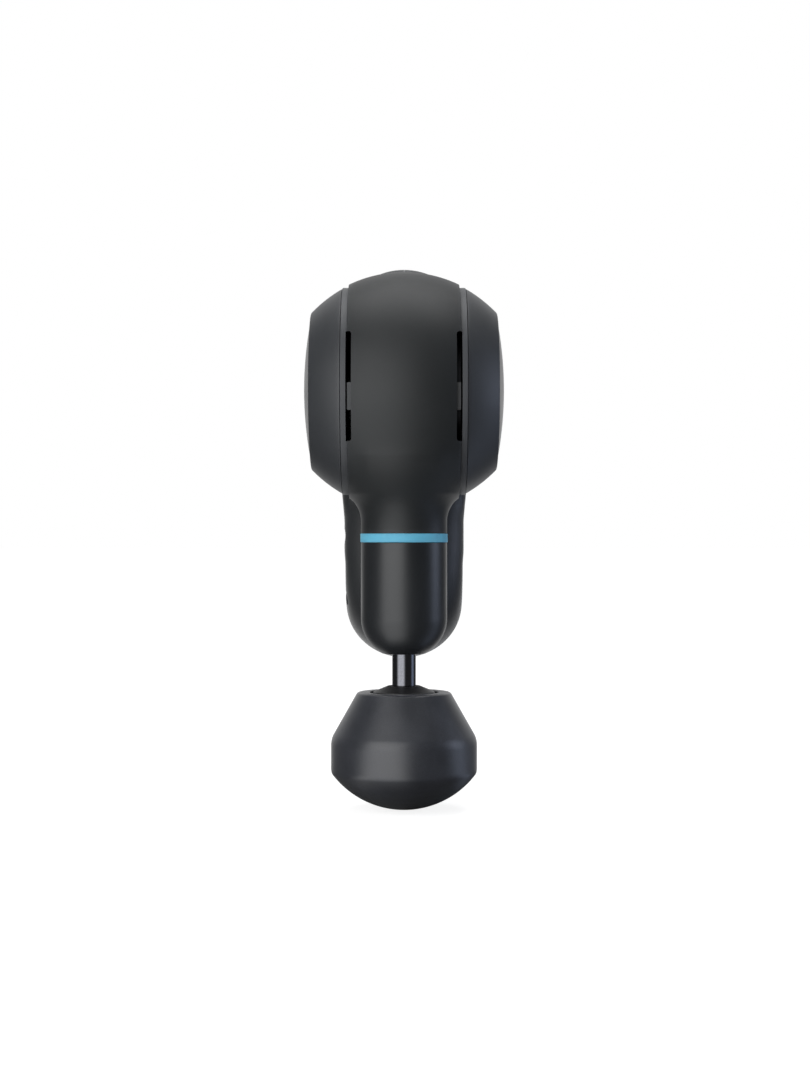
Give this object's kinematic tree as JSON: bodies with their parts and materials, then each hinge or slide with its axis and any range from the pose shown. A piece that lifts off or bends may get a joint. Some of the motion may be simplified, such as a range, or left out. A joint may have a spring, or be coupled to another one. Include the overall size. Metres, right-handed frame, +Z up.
{
  "type": "percussion massage gun",
  "caption": "Percussion massage gun with a triangular loop handle, a turning drum arm with a blue ring, and a removable domed foam head",
  "frame": {"origin": "middle of the top bar of the loop handle, at the grip", "axes": "+X along the drum's axis to the user's right seen from behind, +Y to the rear of the handle, +Z up"},
  "size_m": [0.0716, 0.1745, 0.1975],
  "materials": {
    "charcoal_plastic": "satin",
    "graphite_plastic": "satin",
    "black_plastic": "satin",
    "bright_steel": "brushed",
    "dark_chrome": "polished",
    "bronze": "satin",
    "cell_can": "satin",
    "circuit_board": "satin",
    "clear_light": "gloss",
    "black_rubber": "matte",
    "accent_blue": "satin",
    "dense_foam": "matte"
  },
  "bodies": {
    "handle": {"handle_shell_left": "charcoal_plastic", "handle_shell_right": "charcoal_plastic", "handle_screws": "bright_steel", "side_cap_left": "charcoal_plastic", "side_cap_right": "charcoal_plastic", "side_disc": "graphite_plastic", "pivot_bush_left": "bronze", "pivot_bush_right": "bronze", "battery_cells": "cell_can", "battery_cradle": "graphite_plastic", "control_board": "circuit_board", "button_switch": "black_plastic", "charge_inlet": "black_plastic", "status_lights": "clear_light", "release_spring": "bright_steel"},
    "power_button": {"power_button": "graphite_plastic"},
    "release_button": {"release_button": "graphite_plastic", "release_stem": "bright_steel", "clutch_disc": "black_rubber"},
    "arm": {"arm_housing": "charcoal_plastic", "arm_plate_left": "graphite_plastic", "arm_plate_right": "graphite_plastic", "plate_screws": "bright_steel", "vent_tabs": "graphite_plastic", "accent_ring": "accent_blue", "nose_sleeve": "charcoal_plastic", "nose_seal": "black_rubber", "shaft_bush_upper": "bronze", "shaft_bush_lower": "bronze", "motor_mount": "bright_steel", "motor_can": "dark_chrome", "motor_stator": "bronze", "motor_bearings": "bright_steel", "motor_screws": "bright_steel"},
    "crank": {"motor_rotor": "bright_steel", "crank_disc": "bright_steel", "crank_pin": "bright_steel", "crank_roller": "bronze"},
    "plunger": {"drive_yoke": "graphite_plastic", "drive_shaft": "dark_chrome"},
    "massage_head": {"head_hub": "black_plastic", "head_o_ring": "black_rubber", "head_foam": "dense_foam"}
  },
  "joints": [
    {"name": "arm_swing", "type": "hinge", "parent": "handle", "child": "arm", "pos_m": [0, -0.07, -0.026], "axis": [-1, 0, 0], "range_deg": [0, 90]},
    {"name": "plunger_stroke", "type": "slide", "parent": "arm", "child": "plunger", "axis": [0, 0, 1], "range_m": [-0.008, 0.008]},
    {"name": "crank_turn", "type": "hinge", "parent": "arm", "child": "crank", "pos_m": [0, -0.07, -0.026], "axis": [1, 0, 0], "range_deg": [-68.8, 68.8]},
    {"name": "head_pull", "type": "slide", "parent": "plunger", "child": "massage_head", "axis": [0, 0, -1], "range_m": [0, 0.014]},
    {"name": "release_press", "type": "slide", "parent": "handle", "child": "release_button", "axis": [1, 0, 0], "range_m": [0, 0.0025], "stiffness_N_per_m": 1500, "deforming": ["release_spring"]},
    {"name": "power_press", "type": "slide", "parent": "handle", "child": "power_button", "axis": [0, -0.1736, -0.9848], "range_m": [0, 0.001], "stiffness_N_per_m": 1500}
  ],
  "couplings": [
    {"joint": "crank_turn", "follows": "plunger_stroke", "rad_per_m": 150}
  ]
}
